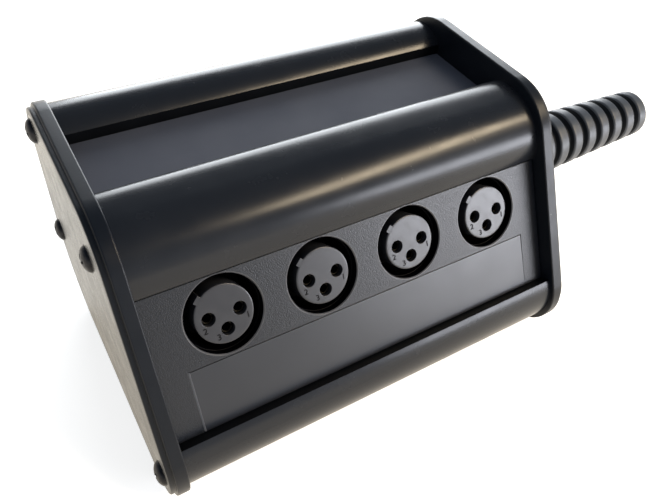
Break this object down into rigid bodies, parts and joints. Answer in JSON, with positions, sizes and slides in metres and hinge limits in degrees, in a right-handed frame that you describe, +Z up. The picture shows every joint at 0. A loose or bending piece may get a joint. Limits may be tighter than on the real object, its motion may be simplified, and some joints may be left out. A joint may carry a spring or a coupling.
{
  "type": "stage box",
  "caption": "Small stage box: round-edged rail housing with sloping socket panel, recessed top, flat end plates and a ribbed cable boot on one end.",
  "frame": {"origin": "bottom centre of the whole object's bounding box, on the surface it stands on", "axes": "+X along the box towards the cable boot, +Y to the rear, +Z up"},
  "size_m": [0.2098, 0.097, 0.0753],
  "materials": {
    "rail": "satin black anodised",
    "sheet_panel": "fine matte black",
    "connector_panel": "fine leather grain, smooth label field",
    "end_plate": "semi-gloss moulded black",
    "shell": "glossy black",
    "insert": "satin dark grey",
    "contact": "plated, dull",
    "latch": "spring steel",
    "board": "solder mask",
    "screw": "black oxide",
    "gland": "satin moulded black",
    "boot": "satin dark grey rubber"
  },
  "bodies": {
    "box": {"rail_front_top": "rail", "rail_rear_top": "rail", "rail_rear_bottom": "rail", "rail_front_bottom": "rail", "top_panel": "sheet_panel", "rear_panel": "sheet_panel", "base_panel": "sheet_panel", "left_end_plate": "end_plate", "right_end_plate": "end_plate", "screw_left_front_top": "screw", "screw_right_front_top": "screw", "screw_left_rear_top": "screw", "screw_right_rear_top": "screw", "screw_left_rear_bottom": "screw", "screw_right_rear_bottom": "screw", "screw_left_front_bottom": "screw", "screw_right_front_bottom": "screw", "connector_panel": "connector_panel", "carrier_board": "board", "board_screw_1": "screw", "board_screw_2": "screw", "board_screw_3": "screw", "board_screw_4": "screw", "socket_shell_1": "shell", "socket_insert_1": "insert", "contact_1_1": "contact", "contact_1_2": "contact", "contact_1_3": "contact", "socket_shell_2": "shell", "socket_insert_2": "insert", "contact_2_1": "contact", "contact_2_2": "contact", "contact_2_3": "contact", "socket_shell_3": "shell", "socket_insert_3": "insert", "contact_3_1": "contact", "contact_3_2": "contact", "contact_3_3": "contact", "socket_shell_4": "shell", "socket_insert_4": "insert", "contact_4_1": "contact", "contact_4_2": "contact", "contact_4_3": "contact", "gland_body": "gland", "gland_lock_nut": "gland", "gland_seal": "boot", "strain_relief_boot": "boot"},
    "latch_1_body": {"latch_1": "latch"},
    "latch_2_body": {"latch_2": "latch"},
    "latch_3_body": {"latch_3": "latch"},
    "latch_4_body": {"latch_4": "latch"}
  },
  "joints": [
    {"name": "latch_1_hinge", "type": "hinge", "parent": "box", "child": "latch_1_body", "pos_m": [-0.07815, -0.00944, 0.04828], "axis": [-1, 0, 0], "range_deg": [0, 4], "stiffness_Nm_per_rad": 0.5},
    {"name": "latch_2_hinge", "type": "hinge", "parent": "box", "child": "latch_2_body", "pos_m": [-0.05015, -0.00944, 0.04828], "axis": [-1, 0, 0], "range_deg": [0, 4], "stiffness_Nm_per_rad": 0.5},
    {"name": "latch_3_hinge", "type": "hinge", "parent": "box", "child": "latch_3_body", "pos_m": [-0.02215, -0.00944, 0.04828], "axis": [-1, 0, 0], "range_deg": [0, 4], "stiffness_Nm_per_rad": 0.5},
    {"name": "latch_4_hinge", "type": "hinge", "parent": "box", "child": "latch_4_body", "pos_m": [0.00585, -0.00944, 0.04828], "axis": [-1, 0, 0], "range_deg": [0, 4], "stiffness_Nm_per_rad": 0.5}
  ]
}
